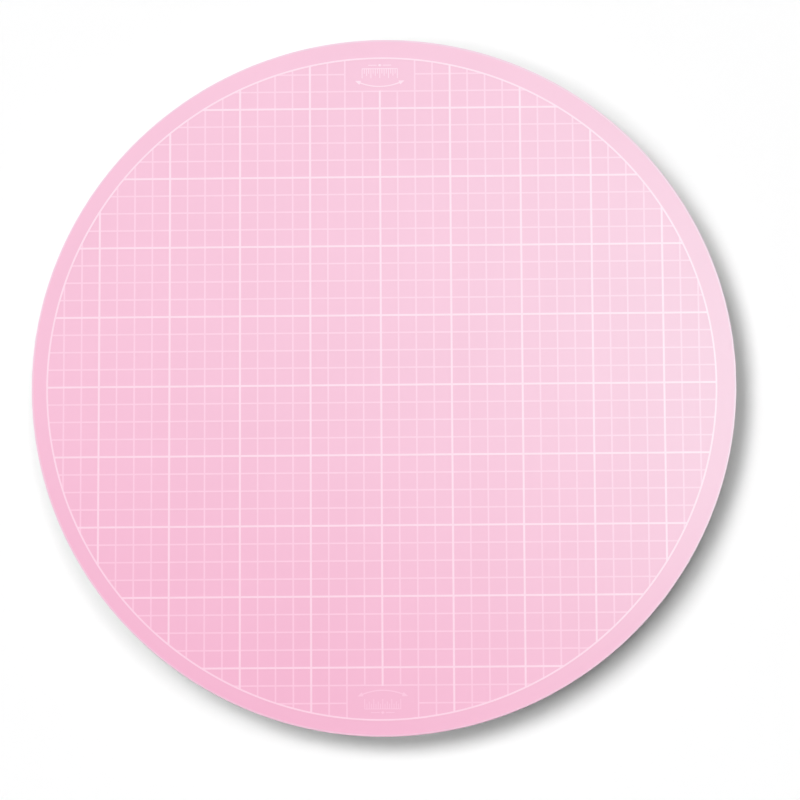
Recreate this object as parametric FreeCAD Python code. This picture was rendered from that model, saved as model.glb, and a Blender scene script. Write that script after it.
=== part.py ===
import FreeCAD, Part
import os

from FreeCAD import Vector

# Round self-healing cutting mat, a trimmed ten inches across, on a low ball-bearing turntable.
#
# The origin is on the table under the middle of the mat, +Z is up and the marks that are
# printed on the mat are read from the -Y side. All sizes are in millimetres.
#
# Three bonded plies make the mat. An adhesive film holds it on a moulded turntable plate.
# The plate runs on twelve steel balls, which a cage spaces out in two facing grooves, and a
# post under the plate turns in a bush in the base plate. A washer and a screw hold the two
# plates together from below, and the base plate stands on six rubber feet.

# ---- driving dimensions ----

mat_diameter = 253.2
ply_thickness = 1.0
top_edge_round = 0.2
bottom_edge_round = 0.3
adhesive_thickness = 0.3
adhesive_radius = 112.0

foot_count = 6
foot_radius = 9.0
foot_circle_radius = 98.0
foot_height = 2.3
foot_glue_thickness = 0.2
foot_pocket_depth = 1.0
foot_pocket_gap = 0.3
foot_glue_inset = 0.5
tread_groove_width = 0.8
tread_groove_depth = 0.4
tread_groove_radii = (4.0, 6.3)

base_radius = 110.0
base_floor_thickness = 2.0
base_wall_thickness = 2.2
base_wall_height = 5.1
base_rib_height = 2.0
panel_inner = 22.0
panel_outer = 78.0
panel_depth = 0.6
panel_spoke_width = 7.0
panel_corner_round = 3.0

plate_radius = 118.0
plate_thickness = 2.3
plate_rib_height = 1.6
plate_rib_start = 18.0
skirt_outer_radius = 114.5
skirt_thickness = 2.0
skirt_height = 4.4

ball_count = 12
ball_radius = 2.5
ball_circle_radius = 85.0
race_gap = 0.1
race_floor_skin = 0.1
race_land_half_width = 5.5
upper_land_height = 1.2
race_land_to_cage = 0.3
cage_thickness = 2.4
cage_band_half_width = 2.2
cage_boss_radius = 4.6

hub_radius = 16.0
hub_wall_height = 3.2
hub_well_radius = 13.0
bush_outer_radius = 8.0
bush_bore_radius = 6.0
bush_flange_radius = 12.0
bush_flange_thickness = 0.8
bush_chamfer = 0.4
bush_seat_gap = 0.1
thrust_pad_height = 0.3
post_clearance = 0.05
thrust_gap = 0.2
washer_radius = 10.5
washer_thickness = 1.0
washer_gap = 0.3
washer_hole_clearance = 0.2
screw_head_radius = 3.9
screw_head_height = 1.4
screw_head_dome = 0.8
recess_length = 4.4
recess_width = 1.0
recess_depth = 0.9
screw_major_radius = 2.0
screw_minor_radius = 1.5
screw_pitch = 1.2
screw_turns = 5

rib_thickness = 1.2
rib_count = 12
ring_rib_radius = 50.0
rib_bite = 0.5
moulded_edge_round = 0.6

# ---- levels and radii that follow ----

mat_radius = mat_diameter / 2

foot_top = foot_height
foot_glue_top = foot_top + foot_glue_thickness
base_bottom = foot_glue_top - foot_pocket_depth
floor_top = base_bottom + base_floor_thickness
wall_top = base_bottom + base_wall_height

groove_radius = ball_radius + race_gap
cage_half = cage_thickness / 2
ball_level = floor_top + race_floor_skin + groove_radius
lower_land_top = ball_level - cage_half - race_land_to_cage
upper_land_bottom = ball_level + cage_half + race_land_to_cage

plate_bottom = upper_land_bottom + upper_land_height
plate_top = plate_bottom + plate_thickness
skirt_bottom = plate_bottom - skirt_height
adhesive_top = plate_top + adhesive_thickness
core_bottom = adhesive_top + ply_thickness
core_top = core_bottom + ply_thickness
mat_top = core_top + ply_thickness

thrust_face = plate_bottom - thrust_pad_height
bush_flange_top = thrust_face - thrust_gap
hub_top = bush_flange_top - bush_flange_thickness
hub_bottom = hub_top - hub_wall_height
post_end = hub_bottom - washer_gap
washer_bottom = post_end - washer_thickness
screw_head_bottom = washer_bottom - screw_head_height

rib_angles = [360.0 / rib_count * i for i in range(rib_count)]
ball_angles = [360.0 / ball_count * (i + 0.5) for i in range(ball_count)]
foot_angles = [360.0 / foot_count * (i + 0.5) for i in range(foot_count)]


# ---- shapes that several parts use ----

def disc(radius, low, high):
    """Round slab about the Z axis."""
    return Part.makeCylinder(radius, high - low, Vector(0, 0, low))


def ring(inner, outer, low, high):
    """Flat ring about the Z axis."""
    return disc(outer, low, high).cut(disc(inner, low, high))


def turned(outline):
    """Solid of revolution about Z, from an outline of (radius, height) corners."""
    corners = [Vector(r, 0, z) for r, z in outline]
    face = Part.Face(Part.makePolygon(corners + corners[:1]))
    return face.revolve(Vector(0, 0, 0), Vector(0, 0, 1), 360)


def at_angle(shape, degrees):
    """Copy of a shape, turned about the Z axis."""
    copy = shape.copy()
    copy.rotate(Vector(0, 0, 0), Vector(0, 0, 1), degrees)
    return copy


def around(shape, angles):
    """One copy of a shape for each angle about the Z axis."""
    return [at_angle(shape, angle) for angle in angles]


def rib(inner, outer, low, high):
    """Straight radial rib along +X."""
    corner = Vector(inner, -rib_thickness / 2, low)
    return Part.makeBox(outer - inner, rib_thickness, high - low, corner)


def rounded(shape, radius, level, size):
    """Shape with its circular edge of that radius, at that height, rounded off."""
    edges = [
        edge
        for edge in shape.Edges
        if isinstance(edge.Curve, Part.Circle)
        and abs(edge.Curve.Radius - radius) < 0.01
        and abs(edge.Curve.Center.z - level) < 0.01
    ]
    return shape.makeFillet(size, edges)


def stiffening(low, high, start, end):
    """Radial ribs between two radii, left open across the ball race, and a ring rib."""
    race_inner = ball_circle_radius - race_land_half_width
    race_outer = ball_circle_radius + race_land_half_width
    inner_ribs = around(rib(start, race_inner + rib_bite, low, high), rib_angles)
    outer_ribs = around(rib(race_outer - rib_bite, end, low, high), rib_angles)
    ring_rib = ring(ring_rib_radius, ring_rib_radius + rib_thickness, low, high)
    return inner_ribs + outer_ribs + [ring_rib]


def race_land(low, high):
    """Raised ring that the ball groove is sunk into."""
    inner = ball_circle_radius - race_land_half_width
    outer = ball_circle_radius + race_land_half_width
    return ring(inner, outer, low, high)


def race_groove():
    """Tube of space that the balls run in, a little wider than they are."""
    centre = Vector(0, 0, ball_level)
    return Part.makeTorus(ball_circle_radius, groove_radius, centre)


# ---- the mat ----

def mat_top_ply():
    """Soft cutting face, with the edge that the die leaves slightly round."""
    return rounded(disc(mat_radius, core_top, mat_top), mat_radius, mat_top, top_edge_round)


def mat_core_ply():
    """Rigid middle sheet that stops the blade."""
    return disc(mat_radius, core_bottom, core_top)


def mat_bottom_ply():
    """Soft backing face."""
    ply = disc(mat_radius, adhesive_top, core_bottom)
    return rounded(ply, mat_radius, adhesive_top, bottom_edge_round)


def mat_adhesive():
    """Double-sided film between the mat and the turntable plate."""
    return disc(adhesive_radius, plate_top, adhesive_top)


# ---- the turntable ----

def turntable_plate():
    """Moulded plate: flat web, skirt, upper ball race, ribs and the post that it turns on."""
    web = disc(plate_radius, plate_bottom, plate_top)
    web = rounded(web, plate_radius, plate_bottom, moulded_edge_round)
    skirt_inner = skirt_outer_radius - skirt_thickness
    skirt = ring(skirt_inner, skirt_outer_radius, skirt_bottom, plate_bottom)
    skirt = rounded(skirt, skirt_outer_radius, skirt_bottom, moulded_edge_round)
    thrust_pad = disc(hub_radius, thrust_face, plate_bottom)
    post = disc(bush_bore_radius - post_clearance, post_end, plate_bottom)
    ribs_low = plate_bottom - plate_rib_height
    ribs = stiffening(ribs_low, plate_bottom, plate_rib_start, skirt_inner + rib_bite)
    land = race_land(upper_land_bottom, plate_bottom)
    solid = web.multiFuse([skirt, thrust_pad, post, land] + ribs)
    screw_hole = disc(screw_minor_radius, post_end, post_end + screw_pitch * (screw_turns + 1))
    return solid.cut(race_groove()).cut(screw_hole).removeSplitter()


def hub_washer():
    """Steel washer that overlaps the base plate's hub and so holds the base on."""
    return ring(screw_major_radius + washer_hole_clearance, washer_radius, washer_bottom, post_end)


def hub_screw():
    """Thread-forming screw with a domed head and a cross recess, driven up into the post."""
    head = disc(screw_head_radius, screw_head_bottom, washer_bottom)
    head = rounded(head, screw_head_radius, screw_head_bottom, screw_head_dome)
    shank = disc(screw_major_radius, washer_bottom, post_end)
    half_pitch = screw_pitch / 2
    outline = [(0, post_end)]
    for turn in range(screw_turns):
        crest = post_end + screw_pitch * turn + half_pitch
        outline.append((screw_minor_radius, crest - half_pitch))
        outline.append((screw_major_radius, crest))
    end_of_thread = post_end + screw_pitch * screw_turns
    outline.append((screw_minor_radius, end_of_thread))
    outline.append((0, end_of_thread))
    solid = head.multiFuse([shank, turned(outline)])
    corner = Vector(-recess_length / 2, -recess_width / 2, screw_head_bottom)
    slot = Part.makeBox(recess_length, recess_width, recess_depth, corner)
    return solid.cut(slot).cut(at_angle(slot, 90)).removeSplitter()


# ---- the ball bearing ----

def ball_cage():
    """Ring with a round boss at each ball. The pockets are parts of spheres, so the balls snap in."""
    low = ball_level - cage_half
    high = ball_level + cage_half
    inner = ball_circle_radius - cage_band_half_width
    outer = ball_circle_radius + cage_band_half_width
    centre = Vector(ball_circle_radius, 0, low)
    boss = Part.makeCylinder(cage_boss_radius, cage_thickness, centre)
    pocket = Part.makeSphere(groove_radius, Vector(ball_circle_radius, 0, ball_level))
    band = ring(inner, outer, low, high).multiFuse(around(boss, ball_angles))
    return band.cut(Part.makeCompound(around(pocket, ball_angles))).removeSplitter()


def bearing_ball(angle):
    """Steel ball, at its place in the cage."""
    ball = Part.makeSphere(ball_radius, Vector(ball_circle_radius, 0, ball_level))
    return at_angle(ball, angle)


# ---- the base ----

def underside_panels():
    """Six shallow recesses in the underside of the floor, parted by spokes that lead to the feet."""
    panels = ring(panel_inner, panel_outer, base_bottom, base_bottom + panel_depth)
    corner = Vector(0, -panel_spoke_width / 2, base_bottom)
    spoke = Part.makeBox(base_radius, panel_spoke_width, panel_depth, corner)
    panels = panels.cut(Part.makeCompound(around(spoke, foot_angles)))
    upright = [edge for edge in panels.Edges if isinstance(edge.Curve, Part.Line)]
    upright = [edge for edge in upright if abs(edge.Vertexes[0].Z - edge.Vertexes[-1].Z) > panel_depth / 2]
    return panels.makeFillet(panel_corner_round, upright)


def base_plate():
    """Moulded dish: floor, low wall, lower ball race, ribs, hub, screw well, foot pockets and panels."""
    floor = disc(base_radius, base_bottom, floor_top)
    wall_inner = base_radius - base_wall_thickness
    wall = ring(wall_inner, base_radius, floor_top, wall_top)
    hub = disc(hub_radius, floor_top, hub_top)
    ribs_high = floor_top + base_rib_height
    ribs = stiffening(floor_top, ribs_high, hub_radius - rib_bite, wall_inner + rib_bite)
    solid = floor.multiFuse([wall, hub, race_land(floor_top, lower_land_top)] + ribs)
    solid = rounded(solid.removeSplitter(), base_radius, base_bottom, moulded_edge_round)
    well = disc(hub_well_radius, base_bottom, hub_bottom)
    bush_seat = disc(bush_outer_radius, hub_bottom, hub_top)
    pocket_radius = foot_radius + foot_pocket_gap
    pocket_centre = Vector(foot_circle_radius, 0, base_bottom)
    pocket = Part.makeCylinder(pocket_radius, foot_pocket_depth, pocket_centre)
    pockets = Part.makeCompound(around(pocket, foot_angles))
    solid = solid.cut(race_groove()).cut(well).cut(bush_seat).cut(pockets)
    return solid.cut(underside_panels()).removeSplitter()


def pivot_bush():
    """Flanged bush, pressed into the hub, that the post turns in."""
    low = hub_bottom + bush_seat_gap
    outline = [
        (bush_bore_radius, low),
        (bush_outer_radius - bush_chamfer, low),
        (bush_outer_radius, low + bush_chamfer),
        (bush_outer_radius, hub_top),
        (bush_flange_radius, hub_top),
        (bush_flange_radius, bush_flange_top),
        (bush_bore_radius + bush_chamfer, bush_flange_top),
        (bush_bore_radius, bush_flange_top - bush_chamfer),
    ]
    return turned(outline)


def rubber_foot(angle):
    """Round pad with a rounded rim and two ring grooves in its tread."""
    pad = rounded(disc(foot_radius, 0, foot_top), foot_radius, 0, moulded_edge_round)
    for groove_inner in tread_groove_radii:
        groove_outer = groove_inner + tread_groove_width
        pad = pad.cut(ring(groove_inner, groove_outer, 0, tread_groove_depth))
    pad.translate(Vector(foot_circle_radius, 0, 0))
    return at_angle(pad, angle)


def foot_glue():
    """Adhesive discs that hold the feet in their pockets."""
    centre = Vector(foot_circle_radius, 0, foot_top)
    glue = Part.makeCylinder(foot_radius - foot_glue_inset, foot_glue_thickness, centre)
    return Part.makeCompound(around(glue, foot_angles))


# ---- every node ----

def nodes():
    """Node name and shape of every piece, from the mat down to the feet."""
    made = {
        "mat_top_ply": mat_top_ply(),
        "mat_core_ply": mat_core_ply(),
        "mat_bottom_ply": mat_bottom_ply(),
        "mat_adhesive": mat_adhesive(),
        "turntable_plate": turntable_plate(),
        "hub_washer": hub_washer(),
        "hub_screw": hub_screw(),
        "ball_cage": ball_cage(),
        "base_plate": base_plate(),
        "pivot_bush": pivot_bush(),
        "foot_glue": foot_glue(),
    }
    for number, angle in enumerate(ball_angles, 1):
        made[f"bearing_ball_{number:02d}"] = bearing_ball(angle)
    for number, angle in enumerate(foot_angles, 1):
        made[f"rubber_foot_{number}"] = rubber_foot(angle)
    return made


def main():
    os.makedirs("parts", exist_ok=True)
    for name, shape in nodes().items():
        shape.exportStep(f"parts/{name}.step")
        state = "valid" if shape.isValid() else "NOT VALID"
        print(f"{name}: {state}, {len(shape.Solids)} solid(s), {shape.Volume:.1f} mm3")


main()
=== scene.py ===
"""Looks of a round self-healing cutting mat on a low turntable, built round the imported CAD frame.

Everything is in metres, in the CAD frame: the origin is on the table under the middle of the mat and
+Z is up. The three plies replace their CAD nodes, the print is added, and every other node stays.
"""

import math

import bmesh
import bpy
from mathutils import Matrix, Vector


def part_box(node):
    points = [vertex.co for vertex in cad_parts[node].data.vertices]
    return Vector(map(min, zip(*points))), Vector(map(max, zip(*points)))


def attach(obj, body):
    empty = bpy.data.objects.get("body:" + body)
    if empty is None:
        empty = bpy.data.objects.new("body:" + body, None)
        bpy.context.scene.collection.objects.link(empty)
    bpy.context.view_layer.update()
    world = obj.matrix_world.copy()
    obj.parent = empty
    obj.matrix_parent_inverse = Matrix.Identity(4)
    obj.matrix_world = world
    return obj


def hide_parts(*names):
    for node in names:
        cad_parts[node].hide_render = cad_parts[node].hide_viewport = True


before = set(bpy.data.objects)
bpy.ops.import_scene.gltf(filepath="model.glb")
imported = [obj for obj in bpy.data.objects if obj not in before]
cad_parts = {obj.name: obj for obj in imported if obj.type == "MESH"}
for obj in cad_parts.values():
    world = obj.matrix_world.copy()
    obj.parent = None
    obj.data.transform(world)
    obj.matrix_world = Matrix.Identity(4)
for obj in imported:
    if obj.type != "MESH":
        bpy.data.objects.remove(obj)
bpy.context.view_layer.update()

MM = 0.001
INCH = 0.0254

# ---- the turned plies ----

LATHE_STEPS = 720
CREASE = 30
BOTTOM_ROUND_STEPS = 8
TOP_ROUND_STEPS = 12
MAT_TOP_ROUND = 0.12 * MM
MAT_BOTTOM_ROUND = 0.3 * MM
PLY_SEAM = 0.06 * MM
FLAT_INSET = 0.5 * MM
# Paler band at the rim, measured in from the edge: partly a whitened cut, partly a painted highlight along
# the whole rim.
CUT_RIM_AND_HIGHLIGHT_INNER = 0.62 * MM
CUT_RIM_AND_HIGHLIGHT_OUTER = 0.52 * MM

# ---- the print: the grid, its ring, its two blank windows and the mark in each ----

QUARTER = INCH / 4
LAST_QUARTER = 18
BOLD_WIDTH = 0.70 * MM
THIN_WIDTH = 0.56 * MM
RING_RADIUS = 4.735 * INCH
RING_WIDTH = 0.60 * MM
WINDOW_HALF = 0.5 * INCH
WINDOW_START = 4.25 * INCH
PRINT_SHIFT = (-0.82 * MM, -0.42 * MM, 0)
INK_SINK = 0.01 * MM
INK_PROUD = 0.02 * MM
RING_PROUD = 0.026 * MM
WELD = 1e-7

MARK_CENTRE = 4.475 * INCH
MARK_STROKE = 0.40 * MM
MARK_FINE = 0.27 * MM
ARROW_RADIUS = 19 * MM
ARROW_TOP = 3.9 * MM
ARROW_HALF_ANGLE = 22
ARROW_STEPS = 24
ARROW_HEAD = 2.0 * MM
ARROW_HEAD_SPREAD = 0.4
RULE_LEVEL = -2.7 * MM
RULE_HALF = 6.5 * MM
TICK_GAP = 0.8 * MM
TICKS_EACH_SIDE = 8
LONG_TICK = 3.4 * MM
MIDDLE_TICK = 2.5 * MM
SHORT_TICK = 1.7 * MM
DASH_LEVEL = RULE_LEVEL - 1.3 * MM
DASH_START = 1.1 * MM
DASH_END = 4.2 * MM
DIAMOND_REACH = 0.7 * MM
DIAMOND_RISE = 0.5 * MM

# ---- the room ----

FLOOR_RADIUS = 12
FLOOR_SEGMENTS = 96
FLOOR_CLOUD = 0.4
ROOM_GLOW = 0.12
SUN_DISTANCE = 2
SOFTBOX_SIZE = 0.5
SHEEN_COLOUR = (0.12, 1.0, 0.73)


# ---- mesh helpers ----

def finished(name, bm, material, body, replaced=()):
    """The bmesh as a piece that rides on a body, takes that slot's finish and stands for those nodes."""
    mesh = bpy.data.meshes.new(name)
    bm.to_mesh(mesh)
    bm.free()
    mesh.materials.append(material)
    piece = bpy.data.objects.new(name, mesh)
    bpy.context.scene.collection.objects.link(piece)
    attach(piece, body)
    if replaced:
        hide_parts(*replaced)
    return piece


def arc(centre_r, centre_z, radius, start, end, steps):
    """Corners (r, z) along an arc of a turned outline, angles in degrees from the outward direction."""
    corners = []
    for n in range(steps + 1):
        angle = math.radians(start + (end - start) * n / steps)
        corners.append((centre_r + radius * math.cos(angle), centre_z + radius * math.sin(angle)))
    return corners


def turned(outline):
    """Closed outline of (r, z) corners turned about Z. Corners on the axis become a single point."""
    bm = bmesh.new()
    angles = [math.tau * n / LATHE_STEPS for n in range(LATHE_STEPS)]
    rings = []
    for r, z in outline:
        if r == 0:
            rings.append([bm.verts.new((0, 0, z))])
        else:
            rings.append([bm.verts.new((r * math.cos(a), r * math.sin(a), z)) for a in angles])
    for k, low in enumerate(rings):
        high = rings[(k + 1) % len(rings)]
        for n in range(LATHE_STEPS):
            m = (n + 1) % LATHE_STEPS
            if len(low) == 1 and len(high) == 1:
                break
            if len(low) == 1:
                bm.faces.new((low[0], high[m], high[n]))
            elif len(high) == 1:
                bm.faces.new((low[n], low[m], high[0]))
            else:
                bm.faces.new((low[n], low[m], high[m], high[n]))
    bmesh.ops.recalc_face_normals(bm, faces=bm.faces)
    smoothed(bm)
    return bm


def smoothed(bm):
    """Smooth shading, with a hard edge wherever two faces meet at more than CREASE degrees."""
    limit = math.radians(CREASE)
    for face in bm.faces:
        face.smooth = True
    for edge in bm.edges:
        edge.smooth = len(edge.link_faces) == 2 and edge.calc_face_angle(0) < limit


def raised(cells, low, high):
    """Flat print of one thickness from (x, y) polygons that share their corners."""
    bm = bmesh.new()
    for corners in cells:
        bm.faces.new([bm.verts.new((x, y, low)) for x, y in corners])
    bmesh.ops.remove_doubles(bm, verts=bm.verts, dist=WELD)
    grown = bmesh.ops.extrude_face_region(bm, geom=list(bm.faces), use_keep_orig=True)
    tops = [item for item in grown["geom"] if isinstance(item, bmesh.types.BMVert)]
    bmesh.ops.translate(bm, verts=tops, vec=(0, 0, high - low))
    bmesh.ops.recalc_face_normals(bm, faces=bm.faces)
    return bm


# ---- materials ----

def shader_of(name):
    """A new material with its node maker, its link maker and its shader."""
    material = bpy.data.materials.new(name)
    material.use_nodes = True
    tree = material.node_tree
    return material, tree.nodes.new, tree.links.new, tree.nodes["Principled BSDF"]


def noise(node, link, size, detail=2.0, rough=0.5, stretch=(1, 1, 1)):
    """Noise in the piece's own coordinates, with features of about that size."""
    place = node("ShaderNodeTexCoord")
    scale = node("ShaderNodeMapping")
    scale.inputs["Scale"].default_value = stretch
    texture = node("ShaderNodeTexNoise")
    texture.inputs["Scale"].default_value = 1 / size
    texture.inputs["Detail"].default_value = detail
    texture.inputs["Roughness"].default_value = rough
    link(place.outputs["Object"], scale.inputs["Vector"])
    link(scale.outputs["Vector"], texture.inputs["Vector"])
    return texture.outputs["Fac"]


def between(node, link, source, low, high):
    """The middle of a noise's range, spread from low to high."""
    spread = node("ShaderNodeMapRange")
    spread.inputs["From Min"].default_value = 0.3
    spread.inputs["From Max"].default_value = 0.7
    spread.inputs["To Min"].default_value = low
    spread.inputs["To Max"].default_value = high
    link(source, spread.inputs["Value"])
    return spread.outputs["Result"]


def blended(node, link, source, dark, light):
    """Colour that goes from dark to light with a noise."""
    mix = node("ShaderNodeMix")
    mix.data_type = "RGBA"
    mix.inputs["A"].default_value = (*dark, 1)
    mix.inputs["B"].default_value = (*light, 1)
    link(between(node, link, source, 0, 1), mix.inputs["Factor"])
    return mix.outputs["Result"]


def relief(node, link, source, depth, under=None):
    """Bump of that depth in metres, on top of another one if it is given."""
    bump = node("ShaderNodeBump")
    bump.inputs["Distance"].default_value = depth
    link(source, bump.inputs["Height"])
    if under:
        link(under, bump.inputs["Normal"])
    return bump.outputs["Normal"]


def surface(name, dark, light, gloss, cloud, grain, depth, stretch=(1, 1, 1), metal=0.0):
    """Material with clouds of colour, and a fine grain in its roughness and its relief.

    gloss is the range of roughness, cloud and grain are sizes and depth is the grain's relief.
    """
    material, node, link, shader = shader_of(name)
    clouds = noise(node, link, cloud)
    grains = noise(node, link, grain, 3.0, 0.6, stretch)
    link(blended(node, link, clouds, dark, light), shader.inputs["Base Color"])
    link(between(node, link, grains, *gloss), shader.inputs["Roughness"])
    link(relief(node, link, grains, depth), shader.inputs["Normal"])
    shader.inputs["Metallic"].default_value = metal
    return material


def rim_mask(node, link, start, end):
    """0 inside the start radius, 1 outside the end radius."""
    place = node("ShaderNodeTexCoord")
    flat = node("ShaderNodeVectorMath")
    flat.operation = "MULTIPLY"
    flat.inputs[1].default_value = (1, 1, 0)
    reach = node("ShaderNodeVectorMath")
    reach.operation = "LENGTH"
    spread = node("ShaderNodeMapRange")
    spread.inputs["From Min"].default_value = start
    spread.inputs["From Max"].default_value = end
    link(place.outputs["Object"], flat.inputs[0])
    link(flat.outputs["Vector"], reach.inputs[0])
    link(reach.outputs["Value"], spread.inputs["Value"])
    return spread.outputs["Result"]


def cutting_face():
    """Pink mat face: faint clouds of colour, a satin skin with a fine pebble, and a paler rim that is partly
    a whitened cut edge and partly a painted highlight.
    """
    material, node, link, shader = shader_of("cutting_face")
    clouds = noise(node, link, 45 * MM, 3.0)
    waves = noise(node, link, 30 * MM, 1.0)
    pebbles = noise(node, link, 0.35 * MM, 2.0)
    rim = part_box("mat_top_ply")[1].x
    pinks = blended(node, link, clouds, (0.889, 0.398, 0.583), (0.903, 0.411, 0.597))
    # Paler colour in a band at the rim: a whitened cut edge with a painted highlight on it, the same all
    # round.
    cut_rim_and_highlight = node("ShaderNodeMix")
    cut_rim_and_highlight.data_type = "RGBA"
    cut_rim_and_highlight.inputs["B"].default_value = (0.890, 0.497, 0.660, 1)
    link(pinks, cut_rim_and_highlight.inputs["A"])
    link(rim_mask(node, link, rim - CUT_RIM_AND_HIGHLIGHT_INNER, rim - CUT_RIM_AND_HIGHLIGHT_OUTER), cut_rim_and_highlight.inputs["Factor"])
    link(cut_rim_and_highlight.outputs["Result"], shader.inputs["Base Color"])
    link(between(node, link, pebbles, 0.29, 0.35), shader.inputs["Roughness"])
    wavy = relief(node, link, waves, 0.02 * MM)
    link(relief(node, link, pebbles, 0.004 * MM, wavy), shader.inputs["Normal"])
    return material


PINK_FACE = cutting_face()
PINK_CORE = surface(
    "mat_core", (0.80, 0.52, 0.64), (0.86, 0.60, 0.71), gloss=(0.5, 0.65),
    cloud=9 * MM, grain=0.5 * MM, depth=0.02 * MM, stretch=(1, 1, 0.25),
)
BACKING = surface(
    "mat_backing", (0.43, 0.43, 0.43), (0.47, 0.47, 0.47), gloss=(0.45, 0.6),
    cloud=20 * MM, grain=0.6 * MM, depth=0.03 * MM,
)
INK = surface(
    "print_ink", (0.962, 0.575, 0.723), (0.972, 0.595, 0.743), gloss=(0.29, 0.35),
    cloud=6 * MM, grain=0.2 * MM, depth=0.002 * MM,
)
FINE_INK = surface(
    "fine_ink", (0.947, 0.495, 0.668), (0.957, 0.515, 0.688), gloss=(0.29, 0.35),
    cloud=6 * MM, grain=0.2 * MM, depth=0.002 * MM,
)
ABS = surface(
    "moulded_abs", (0.72, 0.71, 0.69), (0.76, 0.75, 0.73), gloss=(0.38, 0.5),
    cloud=30 * MM, grain=0.4 * MM, depth=0.012 * MM,
)
FILM = surface(
    "adhesive_film", (0.60, 0.55, 0.42), (0.70, 0.65, 0.52), gloss=(0.3, 0.5),
    cloud=12 * MM, grain=1.5 * MM, depth=0.01 * MM,
)
CAGE = surface(
    "cage_nylon", (0.012, 0.012, 0.013), (0.02, 0.02, 0.022), gloss=(0.3, 0.42),
    cloud=8 * MM, grain=0.5 * MM, depth=0.008 * MM,
)
BUSH = surface(
    "acetal", (0.66, 0.64, 0.56), (0.72, 0.70, 0.63), gloss=(0.25, 0.35),
    cloud=8 * MM, grain=0.6 * MM, depth=0.005 * MM,
)
RUBBER = surface(
    "foot_rubber", (0.010, 0.010, 0.011), (0.022, 0.022, 0.023), gloss=(0.7, 0.9),
    cloud=5 * MM, grain=0.3 * MM, depth=0.02 * MM,
)
BALL = surface(
    "ball_steel", (0.60, 0.60, 0.61), (0.66, 0.66, 0.67), gloss=(0.05, 0.12),
    cloud=3 * MM, grain=0.4 * MM, depth=0.0005 * MM, metal=1.0,
)
ZINC = surface(
    "zinc_plate", (0.50, 0.51, 0.53), (0.62, 0.62, 0.63), gloss=(0.22, 0.38),
    cloud=2.5 * MM, grain=0.3 * MM, depth=0.004 * MM, metal=1.0,
)


# ---- the mat ----

def ply(node, top_round, bottom_round):
    """Outline of one ply of the mat, from its CAD box, with the given rounds on its rim.

    A corner just inside each round keeps the round's smooth shading off the flat of the face.
    """
    low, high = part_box(node)
    r = high.x
    outline = [(0, low.z), (r - FLAT_INSET, low.z)]
    outline += arc(r - bottom_round, low.z + bottom_round, bottom_round, -90, 0, BOTTOM_ROUND_STEPS)
    outline += arc(r - top_round, high.z - top_round, top_round, 0, 90, TOP_ROUND_STEPS)
    outline += [(r - FLAT_INSET, high.z), (0, high.z)]
    return outline


def mat():
    """The three bonded plies. A fine seam shows where they meet on the cut rim."""
    face = turned(ply("mat_top_ply", MAT_TOP_ROUND, PLY_SEAM))
    finished("cutting_ply", face, PINK_FACE, "turntable", ["mat_top_ply"])
    core = turned(ply("mat_core_ply", PLY_SEAM, PLY_SEAM))
    finished("core_ply", core, PINK_CORE, "turntable", ["mat_core_ply"])
    backing = turned(ply("mat_bottom_ply", PLY_SEAM, MAT_BOTTOM_ROUND))
    finished("backing_ply", backing, BACKING, "turntable", ["mat_bottom_ply"])


# ---- the print ----

def grid_edges():
    """Both edges of every grid line along one axis, between the two sides of the printed ring."""
    edges = [-RING_RADIUS]
    for quarter in range(-LAST_QUARTER, LAST_QUARTER + 1):
        half = (THIN_WIDTH if quarter % 4 else BOLD_WIDTH) / 2
        edges += [quarter * QUARTER - half, quarter * QUARTER + half]
    return edges + [RING_RADIUS]


def in_window(x, y):
    """Whether a place is in one of the two blank windows."""
    return abs(x) < WINDOW_HALF - THIN_WIDTH and abs(y) > WINDOW_START + THIN_WIDTH


def is_bold(span):
    """Whether the line between these two edges is a bold one."""
    return span[1] - span[0] > (BOLD_WIDTH + THIN_WIDTH) / 2


def grid_cells():
    """Printed cells of the bold and of the thin lines, cut off at the ring and left out of the windows.

    A cell is a crossing of two lines or the stretch of a line between two crossings.
    """
    edges = grid_edges()
    spans = list(zip(edges, edges[1:]))
    bold, thin = [], []
    for i, (x0, x1) in enumerate(spans):
        for j, (y0, y1) in enumerate(spans):
            x, y = (x0 + x1) / 2, (y0 + y1) / 2
            on_upright, on_level = i % 2 == 1, j % 2 == 1
            if not (on_upright or on_level) or in_window(x, y):
                continue
            reach_x = math.sqrt(RING_RADIUS**2 - (y if on_level else 0) ** 2)
            reach_y = math.sqrt(RING_RADIUS**2 - (x if on_upright else 0) ** 2)
            left, right = max(x0, -reach_x), min(x1, reach_x)
            front, back = max(y0, -reach_y), min(y1, reach_y)
            if left < right and front < back:
                of_bold = (on_upright and is_bold(spans[i])) or (on_level and is_bold(spans[j]))
                cell = [(left, front), (right, front), (right, back), (left, back)]
                (bold if of_bold else thin).append(cell)
    return bold, thin


def ribbon(points, width):
    """Quads along a line of points, that wide."""
    sides = []
    for n, point in enumerate(points):
        before, after = points[max(n - 1, 0)], points[min(n + 1, len(points) - 1)]
        along = (Vector(after) - Vector(before)).normalized()
        across = Vector((-along.y, along.x)) * width / 2
        sides.append((Vector(point) + across, Vector(point) - across))
    return [[a[1], b[1], b[0], a[0]] for a, b in zip(sides, sides[1:])]


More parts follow.
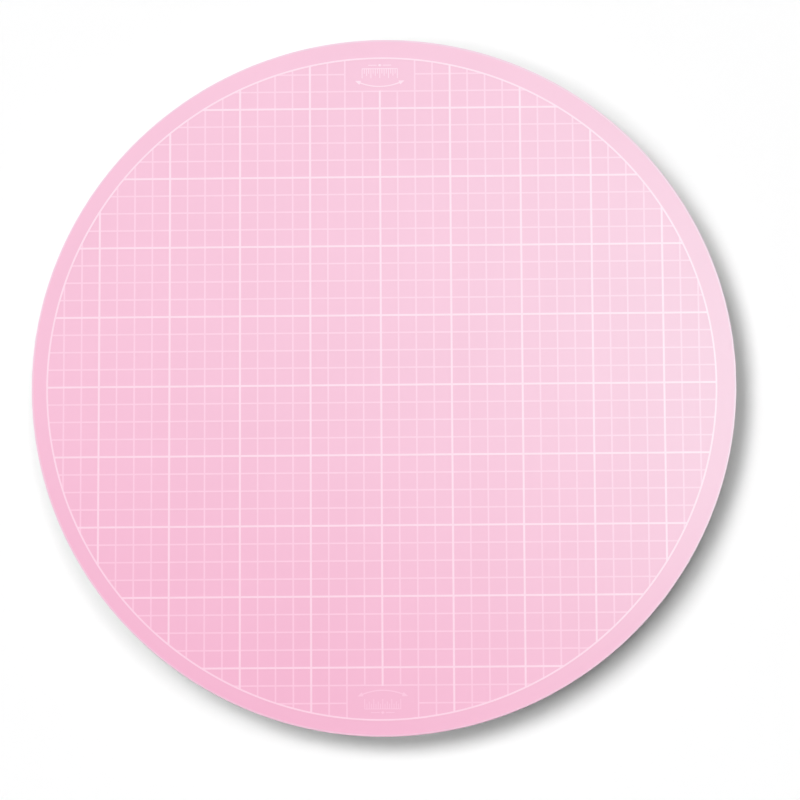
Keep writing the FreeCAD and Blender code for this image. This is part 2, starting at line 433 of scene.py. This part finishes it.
def turning_arrow():
    """Shallow arc with an arrowhead at each end, along the top of the mark."""
    centre = Vector((0, ARROW_TOP - ARROW_RADIUS))
    half_angle = math.radians(ARROW_HALF_ANGLE)
    angles = [half_angle * (2 * n / ARROW_STEPS - 1) for n in range(ARROW_STEPS + 1)]
    on_arc = [centre + Vector((math.sin(a), math.cos(a))) * ARROW_RADIUS for a in angles]
    cells = ribbon(on_arc, MARK_STROKE)
    for end, side in ((on_arc[0], -1), (on_arc[-1], 1)):
        out = (end - centre).normalized()
        along = Vector((out.y, -out.x)) * side
        half_base = out * ARROW_HEAD * ARROW_HEAD_SPREAD
        cells.append([end + half_base, end + along * ARROW_HEAD, end - half_base])
    return cells


def ruler_ticks():
    """Short rule with a row of ticks that stand on it, longer at every second and every fourth."""
    cells = ribbon([Vector((-RULE_HALF, RULE_LEVEL)), Vector((RULE_HALF, RULE_LEVEL))], MARK_FINE)
    foot = RULE_LEVEL + MARK_FINE / 2
    for n in range(-TICKS_EACH_SIDE, TICKS_EACH_SIDE + 1):
        height = LONG_TICK if n % 4 == 0 else MIDDLE_TICK if n % 2 == 0 else SHORT_TICK
        x = n * TICK_GAP
        cells += ribbon([Vector((x, foot)), Vector((x, foot + height))], MARK_FINE)
    return cells


def dashes_and_diamond():
    """Two dashes with a small diamond between them, along the bottom of the mark."""
    cells = []
    for side in (-1, 1):
        ends = [Vector((side * DASH_START, DASH_LEVEL)), Vector((side * DASH_END, DASH_LEVEL))]
        cells += ribbon(ends, MARK_FINE)
    diamond = ((0, -DIAMOND_RISE), (DIAMOND_REACH, 0), (0, DIAMOND_RISE), (-DIAMOND_REACH, 0))
    cells.append([Vector((x, DASH_LEVEL + y)) for x, y in diamond])
    return cells


def turn_mark():
    """Generic mark: a turning arrow over a row of ruler ticks, with two dashes and a diamond below."""
    return turning_arrow() + ruler_ticks() + dashes_and_diamond()


def placed(cells, turn, y):
    """Cells moved to y and then turned about the middle of the mat by that many degrees."""
    spin = Matrix.Rotation(math.radians(turn), 2)
    return [[spin @ (Vector(corner) + Vector((0, y))) for corner in cell] for cell in cells]


def printed(name, bm, ink=INK):
    """One printed figure, moved off the mat's centre as the whole print is on the trimmed mat."""
    bmesh.ops.translate(bm, verts=bm.verts, vec=PRINT_SHIFT)
    finished(name, bm, ink, "turntable")


def printing():
    """The ink: grid, ring and one mark in each window, all a little proud of the face."""
    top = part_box("mat_top_ply")[1].z
    low, high = top - INK_SINK, top + INK_PROUD
    bold, thin = grid_cells()
    printed("printed_inches", raised(bold, low, high))
    printed("printed_quarters", raised(thin, low, high), FINE_INK)
    inner, outer = RING_RADIUS - RING_WIDTH / 2, RING_RADIUS + RING_WIDTH / 2
    outline = [(inner, low), (outer, low), (outer, top + RING_PROUD), (inner, top + RING_PROUD)]
    printed("printed_ring", turned(outline))
    for name, turn, ink in (("front", 0, FINE_INK), ("back", 180, INK)):
        mark = placed(turn_mark(), turn, -MARK_CENTRE)
        printed(f"printed_mark_{name}", raised(mark, low, high), ink)


# ---- the CAD nodes that stay ----

def dressed():
    """Materials of the nodes that keep their CAD shape."""
    finishes = {
        "mat_adhesive": FILM,
        "turntable_plate": ABS,
        "hub_washer": ZINC,
        "hub_screw": ZINC,
        "ball_cage": CAGE,
        "base_plate": ABS,
        "pivot_bush": BUSH,
        "foot_glue": FILM,
    }
    for name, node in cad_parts.items():
        if name.startswith("bearing_ball"):
            finishes[name] = BALL
        if name.startswith("rubber_foot"):
            finishes[name] = RUBBER
        if name in finishes:
            node.data.materials.clear()
            node.data.materials.append(finishes[name])


# ---- floor, light and camera ----

def floor():
    """Matt white table that the feet stand on."""
    bm = bmesh.new()
    bmesh.ops.create_circle(bm, cap_ends=True, segments=FLOOR_SEGMENTS, radius=FLOOR_RADIUS)
    mesh = bpy.data.meshes.new("floor")
    bm.to_mesh(mesh)
    bm.free()
    material, node, link, shader = shader_of("floor_white")
    clouds = noise(node, link, FLOOR_CLOUD)
    whites = blended(node, link, clouds, (0.955, 0.955, 0.955), (0.965, 0.965, 0.965))
    link(whites, shader.inputs["Base Color"])
    shader.inputs["Roughness"].default_value = 1.0
    shader.inputs["Specular IOR Level"].default_value = 0.0
    mesh.materials.append(material)
    table = bpy.data.objects.new("floor", mesh)
    bpy.context.scene.collection.objects.link(table)


def lamp(name, kind, place, target, energy, colour=(1, 1, 1)):
    """A light at a place, aimed at a target."""
    data = bpy.data.lights.new(name, kind)
    data.energy = energy
    data.color = colour
    light = bpy.data.objects.new(name, data)
    light.location = place
    light.rotation_euler = (Vector(target) - Vector(place)).to_track_quat("-Z", "Y").to_euler()
    light.visible_camera = False
    bpy.context.scene.collection.objects.link(light)
    return light


def sunlight():
    """Key from the left and behind, with a fill on each side of it: the shadow, but nothing in the gloss."""
    # name, azimuth, degrees off vertical, spread in degrees, strength
    suns = (
        ("key", 148, 27.7, 26.2, 1.62),
        ("fill_right", 68.5, 19.9, 28.3, 0.81),
        ("fill_left", 207.5, 26.8, 22.9, 0.77),
    )
    for name, azimuth, off_vertical, spread, energy in suns:
        turn, lean = math.radians(azimuth), math.radians(off_vertical)
        aim = Vector((math.cos(turn) * math.sin(lean), math.sin(turn) * math.sin(lean), math.cos(lean)))
        sun = lamp(name, "SUN", aim * SUN_DISTANCE, (0, 0, 0), energy)
        sun.data.angle = math.radians(spread)
        sun.visible_glossy = False


def softboxes():
    """Two discs for the gloss only: a broad sheen at the right of the face and a faint one at its back."""
    # name, place, watts
    discs = (
        ("sheen_high", (0.515, 0.324, 2.2), 21.5),
        ("sheen_low", (-0.076, 0.233, 0.583), 1.85),
    )
    for name, place, watts in discs:
        sheen = lamp(name, "AREA", place, (0, 0, 0), watts, SHEEN_COLOUR)
        sheen.data.shape = "DISK"
        sheen.data.size = SOFTBOX_SIZE
        sheen.visible_diffuse = False


def room():
    """A faint even glow from all round, in a room that is pure white to the camera."""
    world = bpy.data.worlds.new("room")
    bpy.context.scene.world = world
    world.use_nodes = True
    nodes, link = world.node_tree.nodes, world.node_tree.links.new
    glow = nodes["Background"]
    white = nodes.new("ShaderNodeBackground")
    path = nodes.new("ShaderNodeLightPath")
    choice = nodes.new("ShaderNodeMixShader")
    glow.inputs["Strength"].default_value = ROOM_GLOW
    glow.inputs["Color"].default_value = (1, 1, 1, 1)
    white.inputs["Color"].default_value = (1, 1, 1, 1)
    link(path.outputs["Is Camera Ray"], choice.inputs["Fac"])
    link(glow.outputs["Background"], choice.inputs[1])
    link(white.outputs["Background"], choice.inputs[2])
    link(choice.outputs["Shader"], nodes["World Output"].inputs["Surface"])


def camera():
    """Long lens, 1.40 m up and a little in front of the mat, that looks almost straight down on it."""
    place = Vector((0.0330, -0.2155, 1.4007))
    target = Vector((0.0059, -0.0060, 0.0145))
    up = Vector((0.0055, 1.0, 0.0))
    back = (place - target).normalized()
    right = up.cross(back).normalized()
    data = bpy.data.cameras.new("camera")
    data.lens = 175.75
    data.sensor_width = 36
    data.clip_start, data.clip_end = 0.05, 50
    eye = bpy.data.objects.new("camera", data)
    eye.matrix_world = Matrix((right, back.cross(right), back)).transposed().to_4x4()
    eye.location = place
    bpy.context.scene.collection.objects.link(eye)
    bpy.context.scene.camera = eye


mat()
printing()
dressed()
floor()
sunlight()
softboxes()
room()
camera()
bpy.context.scene.view_settings.view_transform = "Standard"
